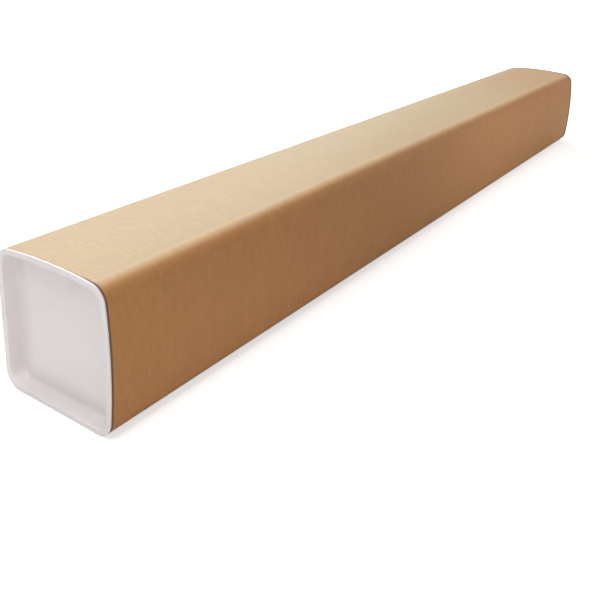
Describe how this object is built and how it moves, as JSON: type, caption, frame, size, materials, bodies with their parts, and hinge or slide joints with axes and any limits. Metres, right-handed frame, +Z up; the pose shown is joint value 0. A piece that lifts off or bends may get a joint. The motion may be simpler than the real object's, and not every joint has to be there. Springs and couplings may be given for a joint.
{
  "type": "square mailing tube",
  "caption": "Long square board shipping box in tube form, with round corners and a recessed plastic end cap that pulls out of each end.",
  "frame": {"origin": "centre of the bounding box's underside, where the tube lies on a surface", "axes": "+X along the tube from the near end cap to the far end cap, +Z up, and -Y out of the bowed front face"},
  "size_m": [0.9178, 0.105, 0.105],
  "materials": {
    "kraft_board": "smooth brown kraft liner, dull",
    "white_plastic": "moulded white polyethylene, satin"
  },
  "bodies": {
    "tube": {"tube_body": "kraft_board"},
    "near_cap": {"near_end_cap": "white_plastic"},
    "far_cap": {"far_end_cap": "white_plastic"}
  },
  "joints": [
    {"name": "near_cap_pull", "type": "slide", "parent": "tube", "child": "near_cap", "axis": [-1, 0, 0], "range_m": [0, 0.15]},
    {"name": "far_cap_pull", "type": "slide", "parent": "tube", "child": "far_cap", "axis": [1, 0, 0], "range_m": [0, 0.15]}
  ]
}
